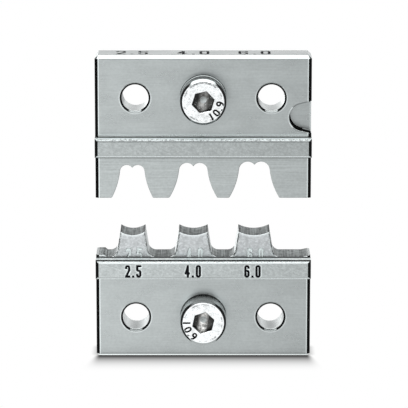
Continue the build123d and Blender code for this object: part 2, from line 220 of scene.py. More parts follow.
class Shader:
    """A material's or world's node tree, with short calls for the nodes that it uses."""

    def __init__(self, owner):
        owner.use_nodes = True
        self.tree = owner.node_tree
        self.tree.nodes.clear()

    def node(self, kind, settings=None, **inputs):
        """Add a node. An input is a plain value, or the output of another node."""
        made = self.tree.nodes.new(kind)
        for name, value in (settings or {}).items():
            setattr(made, name, value)
        for name, value in inputs.items():
            self.plug(made.inputs[name.replace("_", " ")], value)
        return made

    def plug(self, socket, value):
        if isinstance(value, bpy.types.NodeSocket):
            self.tree.links.new(value, socket)
        else:
            socket.default_value = value

    def maths(self, operation, *values):
        made = self.tree.nodes.new("ShaderNodeMath")
        made.operation = operation
        for socket, value in zip(made.inputs, values):
            self.plug(socket, value)
        return made.outputs[0]

    def sum(self, first, second):
        return self.maths("ADD", first, second)

    def difference(self, first, second):
        return self.maths("SUBTRACT", first, second)

    def magnitude(self, value):
        return self.maths("ABSOLUTE", value)

    def distance(self, across, up):
        """How far a point lies from a middle, by its two differences from it."""
        squares = self.sum(self.overlap(across, across), self.overlap(up, up))
        return self.maths("SQRT", squares)

    def above(self, value, limit):
        return self.maths("GREATER_THAN", value, limit)

    def below(self, value, limit):
        return self.maths("LESS_THAN", value, limit)

    def between(self, value, low, high):
        return self.overlap(self.above(value, low), self.below(value, high))

    def overlap(self, *zones):
        """The product of several zones or strengths."""
        product = zones[0]
        for zone in zones[1:]:
            product = self.maths("MULTIPLY", product, zone)
        return product

    def most(self, *zones):
        """The greatest of several zones or strengths."""
        greatest = zones[0]
        for zone in zones[1:]:
            greatest = self.maths("MAXIMUM", greatest, zone)
        return greatest

    def outside(self, zone):
        return self.difference(1.0, zone)

    def mix(self, amount, first, second, kind="FLOAT"):
        """Go from one number to another as the amount goes from 0 to 1."""
        made = self.tree.nodes.new("ShaderNodeMix")
        made.data_type = kind
        first_place, second_place, output = {"FLOAT": (2, 3, 0), "RGBA": (6, 7, 2)}[kind]
        self.plug(made.inputs[0], amount)
        self.plug(made.inputs[first_place], first)
        self.plug(made.inputs[second_place], second)
        return made.outputs[output]

    def blend(self, amount, first, second):
        """Go from one colour to another as the amount goes from 0 to 1."""
        return self.mix(amount, first, second, "RGBA")

    def remap(self, value, low, high, to_low, to_high):
        made = self.node("ShaderNodeMapRange")
        for socket, number in zip(made.inputs, (value, low, high, to_low, to_high)):
            self.plug(socket, number)
        return made.outputs[0]

    def stain(self, colour, pattern, start, end, strength, stained):
        """Stain a colour where a pattern rises from start to end, up to a strength."""
        return self.blend(self.remap(pattern, start, end, 0.0, strength), colour, stained)

    def noise(self, vector, stretch, detail=4.0, roughness=0.6):
        """Noise whose features measure about 1 / stretch along each axis."""
        scaled = self.node("ShaderNodeMapping", Vector=vector, Scale=stretch).outputs[0]
        made = self.node("ShaderNodeTexNoise", Vector=scaled, Scale=1.0, Detail=detail, Roughness=roughness)
        return made.outputs[0]

    def place(self):
        """The point's place and its normal, both as plain axes of the object, and its place as a vector."""
        coordinates = self.node("ShaderNodeTexCoord")
        place = self.node("ShaderNodeSeparateXYZ", Vector=coordinates.outputs["Object"])
        normal = self.node("ShaderNodeSeparateXYZ", Vector=coordinates.outputs["Normal"])
        return place.outputs, normal.outputs, coordinates.outputs["Object"]

    def soft_edges(self, radius):
        """A normal that rounds sharp edges by a radius."""
        return self.node("ShaderNodeBevel", {"samples": 8}, Radius=radius).outputs[0]

    def bump(self, height, **inputs):
        """A normal with a fine relief."""
        values = {"Strength": BUMP_STRENGTH, "Distance": BUMP_HEIGHT, **inputs}
        return self.node("ShaderNodeBump", Height=height, **values).outputs[0]

    def finish_metal(self, colour, matt, roughness, normal):
        """End in bare metal that is matt where painted shade or painted light covers it."""
        self.finish_material(
            Base_Color=colour,
            Metallic=self.outside(matt),
            Specular_IOR_Level=0.0,
            Roughness=roughness,
            Normal=normal,
        )

    def finish_material(self, **inputs):
        """End in one principled surface."""
        surface = self.node("ShaderNodeBsdfPrincipled", **inputs)
        output = self.node("ShaderNodeOutputMaterial")
        self.tree.links.new(surface.outputs[0], output.inputs[0])


def grey(level, tint=(0.93, 1.0, 1.0)):
    """A near neutral colour of one level, slightly green as tool steel is."""
    return (level * tint[0], level * tint[1], level * tint[2], 1.0)


def edge_zones(shader, reach):
    """Zones beside sharp edges within a reach, right on them, and where the edge runs upright.

    The last output holds the axes of the rounded normal, which leans towards the edge."""
    rounded = shader.soft_edges(reach)
    flat = shader.node("ShaderNodeNewGeometry").outputs["True Normal"]
    match = shader.node("ShaderNodeVectorMath", {"operation": "DOT_PRODUCT"})
    shader.plug(match.inputs[0], rounded)
    shader.plug(match.inputs[1], flat)
    beside = shader.remap(match.outputs["Value"], 0.9997, 0.992, 0.0, 1.0)
    on_edge = shader.remap(match.outputs["Value"], 0.985, 0.96, 0.0, 1.0)
    way = shader.node("ShaderNodeSeparateXYZ", Vector=rounded).outputs
    to_side = shader.above(shader.magnitude(way[0]), shader.magnitude(way[2]))
    return beside, on_edge, to_side, way


def corner_shade(shader, reach, low, high):
    """A painted shade mask: 1 in tight corners, fading to 0 at an open surface, within a reach."""
    occlusion = shader.node("ShaderNodeAmbientOcclusion", {"samples": 12}, Distance=reach)
    return shader.remap(occlusion.outputs["AO"], low, high, 1.0, 0.0)


def steel_zones(shader, profile_low, profile_high, bore_z):
    """The places, zones and noises of a die block, which its tones are made from."""
    (x, y, z), (_, ny, nz), vector = shader.place()
    faces_y = shader.magnitude(ny)
    upright = shader.magnitude(nz)
    flat_face = shader.above(faces_y, 0.9)
    across = shader.below(faces_y, 0.35)
    from_row = shader.difference(z, bore_z)
    from_end = shader.difference(END_X, shader.magnitude(x))

    in_profile = shader.between(z, profile_low, profile_high)
    profile_face = shader.overlap(shader.between(y, PROFILE_Y - HAIR / 2, PROFILE_Y + HAIR / 2), in_profile)
    sunk = shader.between(y, PROFILE_Y + HAIR, PROFILE_Y + ENGRAVED_DEPTH)
    behind_face = shader.above(y, PROFILE_Y - HAIR)
    inside = shader.below(shader.magnitude(x), END_X - PROFILE_END_MARGIN)
    wire_cut = shader.overlap(inside, across, in_profile, behind_face)
    front_face = shader.overlap(flat_face, shader.below(y, PROFILE_Y + HAIR))

    bore_distance = shader.distance(shader.difference(shader.magnitude(x), BORE_X), from_row)
    bevel = shader.between(faces_y, 0.4, 0.9)
    bright_bevel = shader.mix(
        shader.below(bore_distance, BORE_REACH),
        shader.remap(upright, 0.3, 0.6, 0.0, 1.0),
        shader.remap(nz, 0.6, 0.66, 0.0, 0.6),
    )
    edge_reach = shader.mix(in_profile, EDGE_LINE_REACH, PUNCH_EDGE_LINE_REACH)
    beside, on_edge, to_side, _ = edge_zones(shader, edge_reach)
    return SimpleNamespace(
        x=x, y=y, z=z, nz=nz, vector=vector, from_row=from_row, from_end=from_end,
        bore_distance=bore_distance, profile_low=profile_low,
        flat_face=flat_face, front_face=front_face, across=across, profile_face=profile_face,
        engraved=shader.overlap(sunk, flat_face, in_profile),
        wire_cut=wire_cut,
        flank=shader.overlap(wire_cut, shader.below(upright, 0.5)),
        shelf=shader.overlap(shader.above(nz, 0.9), shader.below(y, PROFILE_Y)),
        bevel=bevel, bright_bevel=bright_bevel,
        black_bevel=shader.overlap(bevel, shader.below(bright_bevel, 0.3)),
        beside=beside, on_edge=on_edge, to_side=to_side,
        cloud=shader.noise(vector, (260, 260, 420)),
        grain=shader.noise(vector, (170, 700, 7500), detail=5.0),
        mottle=shader.noise(vector, (2600, 2600, 3200), detail=3.0),
        speckle=shader.noise(vector, (6000, 6000, 6000), detail=2.0),
        stripes=shader.noise(vector, (5200, 90, 5200), detail=3.0),
        patches=shader.noise(vector, (1100, 900, 1100)),
    )


def ground_tone(shader, block, level):
    """Ground steel with clouds, grain, mottling and specks."""
    colour = shader.stain(grey(level * 0.95), block.cloud, 0.35, 0.65, 1.0, grey(level * 1.05))
    colour = shader.stain(colour, block.grain, 0.3, 0.7, 0.45, grey(level * 0.72))
    colour = shader.stain(colour, block.mottle, 0.35, 0.7, 0.16, grey(level * 1.5))
    return shader.stain(colour, block.speckle, 0.55, 0.75, 0.3, grey(0.3))


def punch_tone(shader, block):
    """The punches' bright, mottled faces."""
    colour = shader.stain(grey(0.43, COOL), block.patches, 0.35, 0.65, 1.0, grey(0.54, COOL))
    return shader.stain(colour, block.mottle, 0.45, 0.7, 0.6, grey(0.78, COOL))


def tooth_tone(shader, block):
    """The teeth's faces, grained like the block."""
    colour = shader.stain(grey(0.5), block.grain, 0.3, 0.7, 1.0, grey(0.36))
    return shader.stain(colour, block.mottle, 0.4, 0.7, 0.35, grey(0.6))


def cut_tone(shader, block):
    """The striped floors and paler flanks that wire cutting leaves."""
    pattern = shader.sum(shader.overlap(block.stripes, 0.6), shader.overlap(block.patches, 0.4))
    colour = shader.stain(grey(0.17), pattern, 0.42, 0.58, 1.0, grey(0.48))
    colour = shader.stain(colour, block.speckle, 0.6, 0.75, 0.6, grey(0.7))
    colour = shader.blend(block.flank, colour, shader.blend(block.patches, grey(0.42), grey(0.8)))
    upper_edge = shader.overlap(block.on_edge, shader.above(block.nz, 0.5))
    return shader.blend(upper_edge, colour, grey(0.09))


def edge_lines(shader, block, colour, is_lower):
    """Painted highlights along upright edges and painted shade lines along level edges of the faces, and
    painted highlights along the punches' edges.
    """
    line = shader.blend(block.to_side, grey(0.24), grey(0.9))
    off_profile = shader.outside(block.profile_face)
    colour = shader.blend(shader.overlap(block.beside, block.flat_face, off_profile, 0.85), colour, line)
    if is_lower:
        punch_edge_highlight = shader.overlap(block.beside, block.profile_face, shader.mix(block.to_side, 0.5, 0.8))
        colour = shader.blend(punch_edge_highlight, colour, grey(0.85))
    return colour


def punch_burrs(shader, block, colour):
    """Ragged black burrs along the punches' sides."""
    ragged = shader.remap(shader.noise(block.vector, (3000, 3000, 1500), detail=3.0), 0.38, 0.5, 0.45, 1.0)
    edge = shader.overlap(block.on_edge, block.to_side)
    burr = shader.overlap(edge, shader.most(block.profile_face, block.flank), ragged)
    return shader.blend(burr, colour, grey(0.02))


def bore_highlight(shader, block, colour):
    """A painted highlight round the lower half of each bore's painted dark ring."""
    halo = shader.between(block.bore_distance, BORE_RING, BORE_RING + BORE_HALO)
    lower_half = shader.remap(block.from_row, 0.0, 0.6 * BORE_RING, 0.5, 0.0)
    return shader.blend(shader.overlap(block.flat_face, halo, lower_half), colour, grey(0.8))


def end_highlights(shader, block, colour):
    """A painted highlight: a bright upright line beside the painted dark strip at each end of the face."""
    line = shader.between(block.from_end, END_SHADE, END_SHADE + END_LINE_WIDTH)
    return shader.blend(shader.overlap(block.front_face, line, 0.8), colour, grey(0.85))


def from_screw(shader, block):
    return shader.distance(block.x, block.from_row)


def lower_face_marks(shader, block, colour):
    """Painted highlights: a bright line under the thrust bar, and a lighter patch above the screw that
    offsets the head's reflected shade.
    """
    line = shader.overlap(shader.between(block.z, *LOWER_LINE_HEIGHTS), block.front_face, 0.85)
    colour = shader.blend(line, colour, grey(0.8))
    patch = shader.overlap(
        shader.remap(from_screw(shader, block), *HEAD_LIGHT_RADII, 0.7, 0.0),
        shader.remap(block.from_row, *HEAD_LIGHT_HEIGHTS, 0.0, 1.0),
        block.front_face,
    )
    return shader.blend(patch, colour, grey(LOWER_LEVEL * 1.25))


def ledge_skirt(shader, block):
    """The narrow strip of the upper face right above the thrust bar's ledge."""
    return shader.overlap(shader.between(block.z, *SKIRT_HEIGHTS), block.front_face)


def upper_face_marks(shader, block, colour):
    """Painted light and shade: a paler strip and a bright narrow strip above the ledge, and a painted
    shadow across the teeth under the thrust bar.
    """
    lift = shader.overlap(
        shader.remap(block.z, *LIFT_HEIGHTS, 0.8, 0.0),
        shader.above(block.z, UPPER_LEDGE_Z),
        block.front_face,
    )
    colour = shader.blend(lift, colour, grey(0.8))
    colour = shader.blend(ledge_skirt(shader, block), colour, grey(0.95))
    shade = shader.overlap(
        shader.remap(block.z, *UNDER_BAR_HEIGHTS, 0.0, 0.55),
        shader.below(block.z, upper_bar_low.z),
        block.profile_face,
    )
    return shader.blend(shade, colour, grey(0.1))


def bevel_tone(shader, block, is_lower):
    """Broken edges, with painted highlights where they face up or down and painted dark reflections where
    they face a side.

    The foot's edge gets the brightest painted highlight, and a painted dark line runs above it."""
    colour = shader.blend(block.bright_bevel, grey(0.01), grey(0.42))
    if is_lower:
        faces_down = shader.below(block.nz, -0.3)
        line = shader.overlap(faces_down, shader.between(block.z, FOOT_EDGE_HEIGHT, FOOT_LINE_HEIGHT), 0.7)
        colour = shader.blend(line, colour, grey(0.3))
        edge = shader.overlap(faces_down, shader.below(block.z, FOOT_EDGE_HEIGHT))
        colour = shader.blend(edge, colour, grey(0.98))
    return colour


def bore_shade(shader, block):
    """Painted shade: a dark ring round each bore, fainter above and open at the bottom."""
    ring = shader.below(block.bore_distance, BORE_RING)
    above_bottom = shader.above(block.from_row, -0.92 * BORE_RING)
    fading = shader.remap(block.from_row, 0.5 * BORE_RING, BORE_RING, 1.0, 0.4)
    return shader.overlap(ring, above_bottom, block.flat_face, fading, 0.9)


def screw_shade(shader, block):
    """Painted shade above the screw's head, with a thin painted shadow line along the head's own edge."""
    distance = from_screw(shader, block)
    head_shade = shader.overlap(
        shader.remap(distance, *HEAD_SHADE_RADII, 0.75, 0.0),
        shader.remap(block.from_row, *HEAD_SHADE_HEIGHTS, 0.0, 1.0),
        shader.remap(block.mottle, 0.3, 0.6, 0.6, 1.0),
    )
    outline = shader.overlap(
        shader.below(distance, OUTLINE_RADIUS), shader.remap(block.from_row, *OUTLINE_HEIGHTS, 0.0, 0.95)
    )
    return shader.overlap(shader.most(head_shade, outline), block.front_face)


def block_corner_shade(shader, block):
    """Painted shade in the corners, but not at the foot or on the faces of the punches and teeth."""
    above_foot = shader.above(block.z, UNSHADED_FOOT_HEIGHT)
    on_profile = shader.most(block.profile_face, block.engraved)
    unshaded_face = shader.overlap(on_profile, shader.above(block.z, block.profile_low + UNSHADED_PUNCH_HEIGHT))
    reach = shader.mix(block.shelf, OPEN_SHADE_REACH, SHELF_SHADE_REACH)
    shade_mask = corner_shade(shader, reach, 0.62, 0.92)
    return shader.overlap(shade_mask, above_foot, shader.outside(unshaded_face), 0.97)


def pocket_shade(shader, block):
    """Painted shade on the pocket's wall, and the shade that the wall lays round its floor."""
    floor_y = FACE_Y + POCKET_DEPTH
    in_pocket = shader.overlap(
        shader.above(block.x, POCKET_LEFT),
        shader.between(block.z, *POCKET_HEIGHTS),
        shader.between(block.y, FACE_Y + POCKET_SKIN, floor_y - POCKET_SKIN),
    )
    inner = shader.below(block.x, END_X - POCKET_SKIN)
    wall = shader.overlap(in_pocket, inner, block.across)
    from_middle = shader.distance(
        shader.difference(block.x, POCKET_SHADE_X), shader.difference(block.z, POCKET_SHADE_Z)
    )
    on_floor = shader.overlap(
        shader.between(block.y, floor_y - POCKET_SKIN, floor_y + POCKET_SKIN), block.flat_face
    )
    left_half = shader.below(block.x, POCKET_CENTRE_X)
    shade = shader.overlap(shader.above(from_middle, POCKET_SHADE_RADIUS), left_half, on_floor)
    return shader.most(wall, shade)


def steel_roughness(shader, block):
    roughness = shader.remap(block.cloud, 0.3, 0.7, 0.26, 0.32)
    roughness = shader.mix(block.bevel, roughness, 0.12)
    roughness = shader.mix(block.shelf, roughness, 0.2)
    roughness = shader.mix(block.profile_face, roughness, 0.38)
    roughness = shader.mix(block.wire_cut, roughness, shader.mix(block.flank, 0.55, 0.35))
    return shader.mix(block.engraved, roughness, 0.7)


def steel_material(name, level, profile_low, profile_high, bore_z, is_lower):
    """Ground tool steel, matt and striped where it is wire cut between two heights."""
    material = bpy.data.materials.new(name)
    shader = Shader(material)
    block = steel_zones(shader, profile_low, profile_high, bore_z)

    profile_tone = punch_tone(shader, block) if is_lower else tooth_tone(shader, block)
    colour = shader.blend(block.profile_face, ground_tone(shader, block, level), profile_tone)
    # Painted highlight: the shelf in front of the profile is set near white.
    colour = shader.blend(block.shelf, colour, grey(0.9))
    colour = edge_lines(shader, block, colour, is_lower)
    colour = shader.blend(block.wire_cut, colour, cut_tone(shader, block))
    if is_lower:
        colour = punch_burrs(shader, block, colour)
    colour = shader.blend(block.engraved, colour, grey(0.8))
    colour = bore_highlight(shader, block, colour)
    colour = end_highlights(shader, block, colour)
    if is_lower:
        colour = lower_face_marks(shader, block, colour)
    else:
        colour = upper_face_marks(shader, block, colour)
    colour = shader.blend(block.bevel, colour, bevel_tone(shader, block, is_lower))

    # Painted shade and dark reflections: corners, above the screw heads, round the bores, at the face's
    # ends and on side-facing bevels.
    dark_end = shader.overlap(block.front_face, shader.below(block.from_end, END_SHADE))
    painted_shade = shader.most(
        block_corner_shade(shader, block), screw_shade(shader, block), bore_shade(shader, block), dark_end,
        block.black_bevel,
    )
    matt = painted_shade
    if not is_lower:
        painted_shade = shader.most(painted_shade, pocket_shade(shader, block))
        matt = shader.most(painted_shade, ledge_skirt(shader, block))
    colour = shader.blend(painted_shade, colour, shader.blend(block.cloud, grey(0.002), grey(0.012)))

    height = shader.mix(block.wire_cut, shader.mix(0.5, block.grain, block.mottle), block.stripes)
    normal = shader.bump(height, Normal=shader.soft_edges(EDGE_RADIUS))
    shader.finish_metal(colour, matt, steel_roughness(shader, block), normal)
    return material


def bar_tone(shader, level, vector, scratches, mottle, speckle):
    """Ground bar steel with fine slanting scratches."""
    cloud = shader.noise(vector, (320, 320, 500))
    colour = shader.stain(grey(level * 0.96), cloud, 0.35, 0.65, 1.0, grey(level * 1.04))
    colour = shader.stain(colour, scratches, 0.35, 0.65, 0.7, grey(level * 0.68))
    colour = shader.stain(colour, mottle, 0.4, 0.7, 0.45, grey(level * 1.5))
    return shader.stain(colour, speckle, 0.5, 0.75, 0.5, grey(level * 0.6))


def chamfer_tone(shader, tones, y, nz, low, mottle, speckle):
    """The bar's chamfers, in painted highlight and shade tones. Tones are for the top, the bottom's front
    and the bottom's back.
    """
    faces_up = shader.above(nz, 0.0)
    front = shader.below(y, low.y + CHAMFER_FRONT)
    bottom = shader.blend(front, grey(tones[2]), grey(tones[1]))
    colour = shader.blend(faces_up, bottom, grey(tones[0]))
    colour = shader.stain(colour, speckle, 0.4, 0.65, 0.3, grey(0.1))
    broken = shader.overlap(shader.remap(mottle, 0.5, 0.58, 0.0, 0.6), faces_up)
    return shader.blend(broken, colour, grey(0.22))


def rolled_strip(shader, y, nz, low, mottle):
    """A painted dark reflection along the top's front edge, slightly wavering, where polishing rolled it
    over.
    """
    waver = shader.remap(mottle, 0.3, 0.7, -ROLL_WAVER, ROLL_WAVER)
    from_edge = shader.difference(y, shader.sum(low.y + BAR_CHAMFER, waver))
    strip = shader.between(from_edge, -ROLL_AHEAD, ROLL_BEHIND)
    return shader.overlap(strip, shader.above(nz, 0.5), 0.95)


def bar_material(name, low, high, corner_y, level, is_rolled, chamfers, lines):
    """A thrust bar's steel, with painted highlights, shade and dark reflections. Lines gives the tones of
    the painted lines beside the top and bottom edges.
    """
    material = bpy.data.materials.new(name)
    shader = Shader(material)
    (x, y, z), (_, ny, nz), vector = shader.place()
    beside, _, to_side, way = edge_zones(shader, EDGE_LINE_REACH)
    faces_y = shader.magnitude(ny)
    flat_face = shader.above(faces_y, 0.9)
    top = shader.above(nz, 0.9)
    bevel = shader.between(faces_y, 0.4, 0.9)
    slanted = shader.node("ShaderNodeMapping", Vector=vector, Rotation=(0, math.radians(-28), 0)).outputs[0]
    scratches = shader.noise(slanted, (900, 2500, 6500), detail=5.0)
    mottle = shader.noise(vector, (2600, 2600, 3200), detail=3.0)
    speckle = shader.noise(vector, (6500, 6500, 6500), detail=2.0)

    colour = bar_tone(shader, level, vector, scratches, mottle, speckle)
    # Painted highlight: the top is set near white.
    colour = shader.blend(top, colour, shader.stain(grey(1.0), mottle, 0.3, 0.6, 1.0, grey(0.7)))
    line = shader.blend(shader.above(way[2], 0.0), grey(lines[1]), grey(lines[0]))
    line = shader.blend(to_side, line, grey(0.86))
    colour = shader.blend(shader.overlap(beside, flat_face, 0.85), colour, line)
    chamfer = chamfer_tone(shader, chamfers, y, nz, low, mottle, speckle)
    colour = shader.blend(bevel, colour, chamfer)
    chamfer_z = high.z - BAR_CHAMFER
    below_chamfer = shader.between(z, chamfer_z - CHAMFER_LINE_FAR, chamfer_z - CHAMFER_LINE_NEAR)
    colour = shader.blend(shader.overlap(below_chamfer, flat_face, 0.8), colour, grey(lines[0]))

    # Painted shade at the back of the top, and painted dark reflections at the ends and on side-facing
    # bevels.
    fade = shader.remap(y, corner_y - CORNER_SHADE, corner_y - CORNER_SHADE * CORNER_FADE, 0.0, 0.95)
    corner = shader.overlap(top, fade)
    from_end = shader.difference(high.x, shader.magnitude(x))
    dark_end = shader.overlap(flat_face, shader.below(from_end, END_SHADE))
    faces_side = shader.outside(shader.above(shader.magnitude(nz), 0.5))
    painted_shade = shader.most(corner, dark_end, shader.overlap(bevel, faces_side))
    if is_rolled:
        painted_shade = shader.most(painted_shade, rolled_strip(shader, y, nz, low, mottle))
    colour = shader.blend(painted_shade, colour, grey(0.01))

    matt_bevels = shader.overlap(bevel, shader.below(nz, -0.5 if is_rolled else 0.9))
    matt = shader.most(painted_shade, matt_bevels, shader.overlap(top, 0.6))
    roughness = shader.remap(scratches, 0.3, 0.7, 0.27, 0.36)
    roughness = shader.mix(bevel, roughness, 0.25)
    roughness = shader.mix(top, roughness, 0.3)
    normal = shader.bump(scratches, Normal=shader.soft_edges(EDGE_RADIUS))
    shader.finish_metal(colour, matt, roughness, normal)
    return material


def screw_zones(shader, centre, face):
    """The places, zones and noises of a screw, which its tones are made from."""
    (x, y, z), (nx, _, nz), vector = shader.place()
    from_axis = shader.difference(z, centre.z)
    radius = shader.distance(x, from_axis)
    depth = shader.difference(y, face)
    socket = shader.overlap(shader.between(depth, *SOCKET_DEPTHS), shader.below(radius, SOCKET_REACH))
    on_head = shader.above(radius, SIDE_RADIUS)
    return SimpleNamespace(
        x=x, nx=nx, nz=nz, from_axis=from_axis, radius=radius, depth=depth,
        socket=socket,
        floor=shader.overlap(socket, shader.above(depth, SOCKET_FLOOR_DEPTH - 2 * HAIR)),
        flank=shader.overlap(shader.above(depth, HEAD_RIM), on_head),
        rim=shader.overlap(on_head, shader.between(depth, HAIR, HEAD_RIM)),
        engraved=shader.overlap(
            shader.between(depth, *STRENGTH_DEPTHS), shader.between(radius, SOCKET_REACH, STRENGTH_REACH)
        ),
        underside=shader.remap(nz, -0.1, -0.5, 0.0, 1.0),
        cloud=shader.noise(vector, (1500, 1500, 1500), detail=6.0),
        specks=shader.noise(vector, (5200, 5200, 5200), detail=3.0),
        scratches=shader.noise(vector, (4000, 4000, 400), detail=3.0),
    )


def plating_tone(shader, screw):
    """Bright zinc plating with fine specks, a darker rim and a broken ring near it."""
    bright = grey(0.99, (0.97, 1.0, 1.01))
    colour = shader.stain(bright, screw.cloud, 0.5, 0.75, 0.8, grey(0.6, (0.98, 1, 1)))
    colour = shader.stain(colour, screw.specks, 0.58, 0.72, 0.8, grey(0.25, (0.98, 1, 1)))
    colour = shader.blend(screw.rim, colour, shader.blend(screw.specks, grey(0.6), grey(0.3)))
    broken_ring = shader.overlap(
        shader.between(screw.radius, *RING_RADII), shader.remap(screw.cloud, 0.5, 0.62, 0.0, 0.8)
    )
    return shader.blend(broken_ring, colour, grey(0.2))


def top_arc(shader, screw):
    """A dark arc along the top of the head's face."""
    return shader.overlap(
        shader.between(screw.radius, *ARC_RADII),
        shader.remap(screw.from_axis, *ARC_HEIGHTS, 0.0, 0.9),
        shader.remap(screw.specks, 0.35, 0.6, 0.3, 1.0),
    )


def head_side_tone(shader, screw, foot_band, is_banded):
    """The head's round side, with painted shade on top, painted highlight and shade bands where it has
    them, and a painted highlight underneath.
    """
    colour = shader.blend(shader.remap(screw.nz, 0.72, 0.93, 0.0, 1.0), grey(0.5), grey(0.13))
    if is_banded:
        middle_band = shader.between(screw.depth, MIDDLE_BAND_DEPTH, FOOT_BAND_DEPTH)
        colour = shader.blend(middle_band, colour, grey(0.1))
        colour = shader.blend(foot_band, colour, grey(0.9))
    return shader.blend(screw.underside, colour, grey(0.95))


def socket_tone(shader, screw, sheen):
    """Dark grey walls with a painted highlight down their middle, and a speckled floor."""
    leaning = shader.magnitude(shader.sum(screw.x, shader.overlap(screw.from_axis, -0.15)))
    middle = shader.overlap(
        shader.remap(leaning, 0.15 * MM, 0.85 * MM, 1.0, 0.0),
        shader.remap(screw.cloud, 0.38, 0.58, 0.25, 1.0),
    )
    walls = shader.blend(middle, grey(0.05, (1, 1, 0.96)), grey(sheen, (1, 1, 0.98)))
    walls = shader.stain(walls, screw.specks, 0.62, 0.7, 0.7, grey(0.8))
    return shader.blend(screw.floor, walls, shader.blend(screw.specks, grey(0.15), grey(0.7)))


def head_crescents(shader, screw):
    """Painted dark reflections: black crescents on both sides of the rim, tapering towards its top, and
    painted shade on the shoulders behind.
    """
    taper = shader.remap(shader.magnitude(screw.nx), 0.34, 0.54, HEAD_RIM, -0.1 * MM)
    inward = shader.remap(shader.difference(screw.depth, taper), 0.0, 0.06 * MM, 0.0, 0.97)
    shoulder = shader.overlap(
        shader.remap(screw.nz, 0.82, 0.68, 0.0, 0.9),
        shader.above(screw.nz, -0.1),
        screw.flank,
        shader.below(screw.depth, SHOULDER_DEPTH),
    )
    return shader.most(shader.overlap(screw.rim, inward), shoulder)


def screw_material(name, centre, face, is_banded, sheen):
    """Bright plating with a dark socket. The head's side has painted highlight and shade bands, or painted
    shade at its foot.
    """
    material = bpy.data.materials.new(name)
    shader = Shader(material)
    screw = screw_zones(shader, centre, face)
    crescents = head_crescents(shader, screw)
    foot_band = shader.above(screw.depth, FOOT_BAND_DEPTH)

    colour = plating_tone(shader, screw)
    if is_banded:
        colour = shader.blend(top_arc(shader, screw), colour, grey(0.16))
    colour = shader.blend(screw.flank, colour, head_side_tone(shader, screw, foot_band, is_banded))
    colour = shader.blend(screw.socket, colour, socket_tone(shader, screw, sheen))
    # Painted shade fills the engraved digits.
    colour = shader.blend(screw.engraved, colour, grey(0.004))
    matt = shader.most(crescents, shader.overlap(screw.engraved, 0.9))
    if is_banded:
        light = shader.overlap(shader.most(foot_band, screw.underside), screw.flank)
    else:
        light = shader.overlap(screw.underside, screw.flank)
        # Painted contact shade where the head's side meets the block.
        foot = shader.between(screw.depth, HEAD_HEIGHT - HEAD_SHADE_WIDTH, HEAD_HEIGHT)
        shade_mask = shader.overlap(screw.flank, foot, shader.remap(screw.nz, 0.0, 0.3, 0.0, 0.95))
        colour = shader.blend(shade_mask, colour, grey(0.01))
        # Painted shade on the rim's top.
        top_rim = shader.overlap(screw.rim, shader.remap(screw.nz, 0.2, 0.5, 0.0, 0.9))
        colour = shader.blend(top_rim, colour, grey(0.045))
        matt = shader.most(matt, shade_mask)
    colour = shader.blend(crescents, colour, grey(0.01))

    roughness = shader.remap(screw.scratches, 0.3, 0.7, 0.2, 0.34)
    roughness = shader.mix(screw.rim, roughness, 0.1)
    roughness = shader.mix(screw.socket, roughness, 0.4)
    normal = shader.bump(screw.cloud, Normal=shader.soft_edges(0.05 * MM))
    shader.finish_metal(colour, shader.most(matt, light), roughness, normal)
    return material


def pin_material():
    """Ground dowel steel."""
    material = bpy.data.materials.new("dowel_steel")
    shader = Shader(material)
    grain = shader.noise(shader.place()[2], (5000, 500, 5000))
    shader.finish_material(
        Base_Color=shader.blend(grain, grey(0.5), grey(0.7)),
        Metallic=1.0,
        Roughness=shader.remap(grain, 0.3, 0.7, 0.2, 0.35),
        Normal=shader.bump(grain, Strength=0.2, Distance=0.003 * MM),
    )
    return material


def enamel_material():
    """Black enamel, slightly uneven."""
    material = bpy.data.materials.new("black_enamel")
    shader = Shader(material)
    specks = shader.noise(shader.place()[2], (9000, 9000, 9000), detail=3.0)
    shader.finish_material(
        Base_Color=shader.blend(specks, (0.002, 0.002, 0.003, 1), (0.008, 0.009, 0.011, 1)),
        Roughness=shader.remap(specks, 0.3, 0.7, 0.5, 0.75),
        Specular_IOR_Level=0.05,
        Normal=shader.bump(specks, Distance=0.004 * MM),
    )
    return material


def dress(nodes, material):
    """Give CAD nodes one material."""
    for name in nodes:
        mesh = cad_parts[name].data
        mesh.materials.clear()
        mesh.materials.append(material)


def lathe(rings, segments, turn=0.0):
    """A closed mesh turned about the Y axis, from rings of (radius, y), with flat ends."""
    shape = bmesh.new()
    loops = []
    for radius, y in rings:
        ring = []
        for step in range(segments):
            angle = turn + 2 * math.pi * step / segments
            ring.append(shape.verts.new((radius * math.cos(angle), y, radius * math.sin(angle))))
        loops.append(ring)
    for first, second in zip(loops, loops[1:]):
        for step in range(segments):
            after = (step + 1) % segments
            shape.faces.new((first[step], second[step], second[after], first[after]))
    shape.faces.new(loops[0])
    shape.faces.new(reversed(loops[-1]))
    bmesh.ops.recalc_face_normals(shape, faces=shape.faces)
    return shape


def arc_rings(centre_radius, centre_y, radius, start, end, steps):
    """Rings round a rounded edge, between two angles in degrees."""
    rings = []
    for step in range(steps + 1):
        angle = math.radians(start + (end - start) * step / steps)
        rings.append((centre_radius + radius * math.cos(angle), centre_y + radius * math.sin(angle)))
    return rings


def link_object(name, data):
    """An object in the scene, from its mesh, curve, lamp or camera data."""
    made = bpy.data.objects.new(name, data)
    bpy.context.scene.collection.objects.link(made)
    return made


def new_piece(name, shape, place):
    """An object from a mesh in making, moved to its place within the mesh."""
    mesh = bpy.data.meshes.new(name)
    shape.to_mesh(mesh)
    shape.free()
    mesh.transform(Matrix.Translation(place))
    return link_object(name, mesh)


def evaluated_mesh(item):
    """An object's mesh with its modifiers carried out."""
    graph = bpy.context.evaluated_depsgraph_get()
    return bpy.data.meshes.new_from_object(item.evaluated_get(graph))


